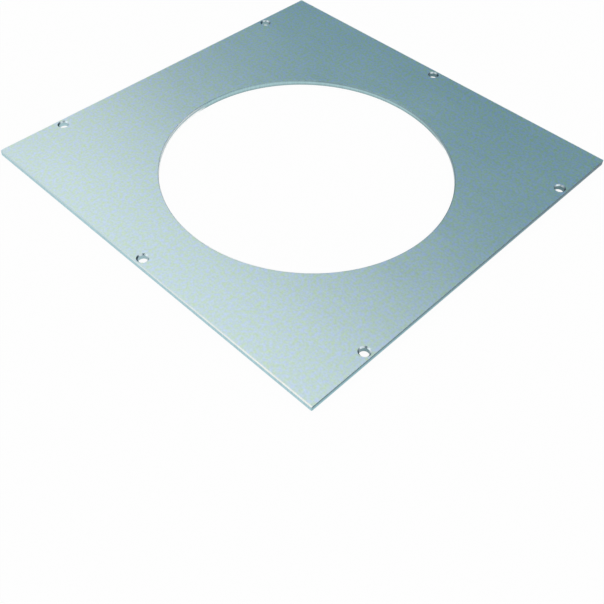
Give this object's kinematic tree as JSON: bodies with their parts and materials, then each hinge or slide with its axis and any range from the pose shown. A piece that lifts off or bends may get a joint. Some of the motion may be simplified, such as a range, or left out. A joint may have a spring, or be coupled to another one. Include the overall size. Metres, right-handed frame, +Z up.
{
  "type": "floor box cover plate",
  "caption": "Square plate of thick zinc-plated sheet steel that covers an underfloor box, with a large round opening for a floor socket and countersunk fixing holes along its edges.",
  "frame": {"origin": "centre of the square plate's underside", "axes": "+Z up out of the top face, where the countersinks are; X and Y along the plate's sides, with a row of two holes at low Y and at high Y and a single hole at low X and at high X"},
  "size_m": [0.4, 0.4, 0.005],
  "materials": {
    "zinc_plated_steel": "zinc-plated rolled steel sheet, satin, with a faint grain in one direction and duller cut edges"
  },
  "bodies": {
    "root": {"cover_plate": "zinc_plated_steel"}
  },
  "joints": []
}
